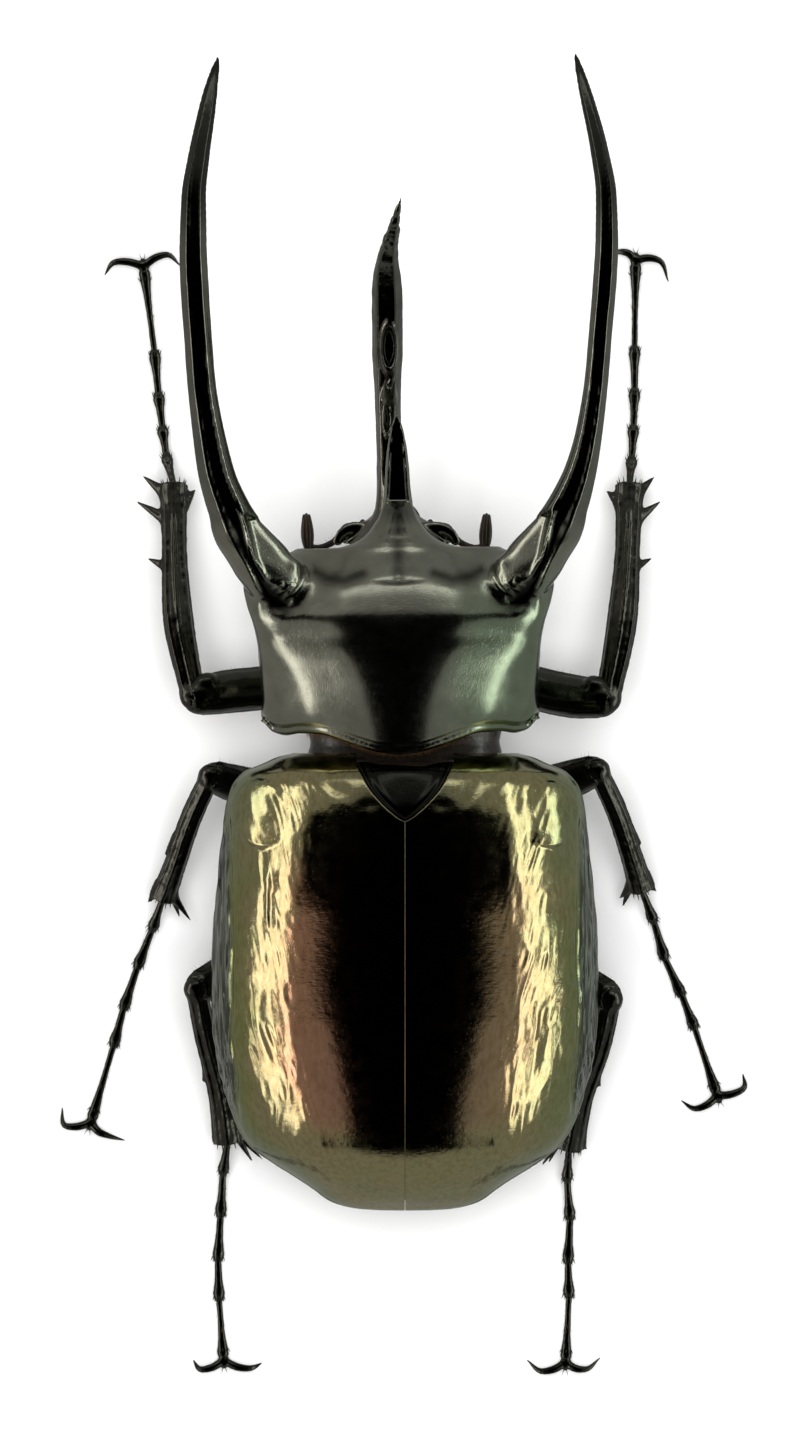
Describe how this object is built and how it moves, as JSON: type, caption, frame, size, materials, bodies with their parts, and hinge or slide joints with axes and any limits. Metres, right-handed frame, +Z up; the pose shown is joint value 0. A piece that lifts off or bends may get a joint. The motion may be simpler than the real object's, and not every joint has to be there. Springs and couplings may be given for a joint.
{
  "type": "caucasus beetle",
  "caption": "Life-size still model of a male caucasus beetle standing on its feet, with long curved horns and bronze wing cases.",
  "frame": {"origin": "on the floor, at the middle of the whole animal's length and width", "axes": "-Y is the animal's front, +X its left side, +Z up"},
  "size_m": [0.069, 0.1322, 0.0332],
  "materials": {
    "wing_case": "glossy olive bronze chitin, finely wrinkled",
    "shell": "satin greenish black chitin, finely pitted",
    "polished_horn": "polished black chitin",
    "leg": "glossy brown-black chitin",
    "underside": "satin brown-black chitin",
    "eye": "glossy dark brown",
    "feeler": "satin brown"
  },
  "bodies": {
    "root": {"abdomen": "underside", "antenna_left": "feeler", "antenna_right": "feeler", "claws_fore_left": "leg", "claws_fore_right": "leg", "claws_hind_left": "leg", "claws_hind_right": "leg", "claws_mid_left": "leg", "claws_mid_right": "leg", "coxa_fore_left": "leg", "coxa_fore_right": "leg", "coxa_hind_left": "leg", "coxa_hind_right": "leg", "coxa_mid_left": "leg", "coxa_mid_right": "leg", "elytron_left": "wing_case", "elytron_right": "wing_case", "eye_left": "eye", "eye_right": "eye", "femur_fore_left": "leg", "femur_fore_right": "leg", "femur_hind_left": "leg", "femur_hind_right": "leg", "femur_mid_left": "leg", "femur_mid_right": "leg", "foot_fore_left": "leg", "foot_fore_right": "leg", "foot_hind_left": "leg", "foot_hind_right": "leg", "foot_mid_left": "leg", "foot_mid_right": "leg", "head": "shell", "head_horn": "polished_horn", "horn_left": "polished_horn", "horn_middle": "polished_horn", "horn_right": "polished_horn", "mouth": "underside", "pronotum": "shell", "scutellum": "polished_horn", "thorax": "underside", "tibia_fore_left": "leg", "tibia_fore_right": "leg", "tibia_hind_left": "leg", "tibia_hind_right": "leg", "tibia_mid_left": "leg", "tibia_mid_right": "leg"}
  },
  "joints": []
}
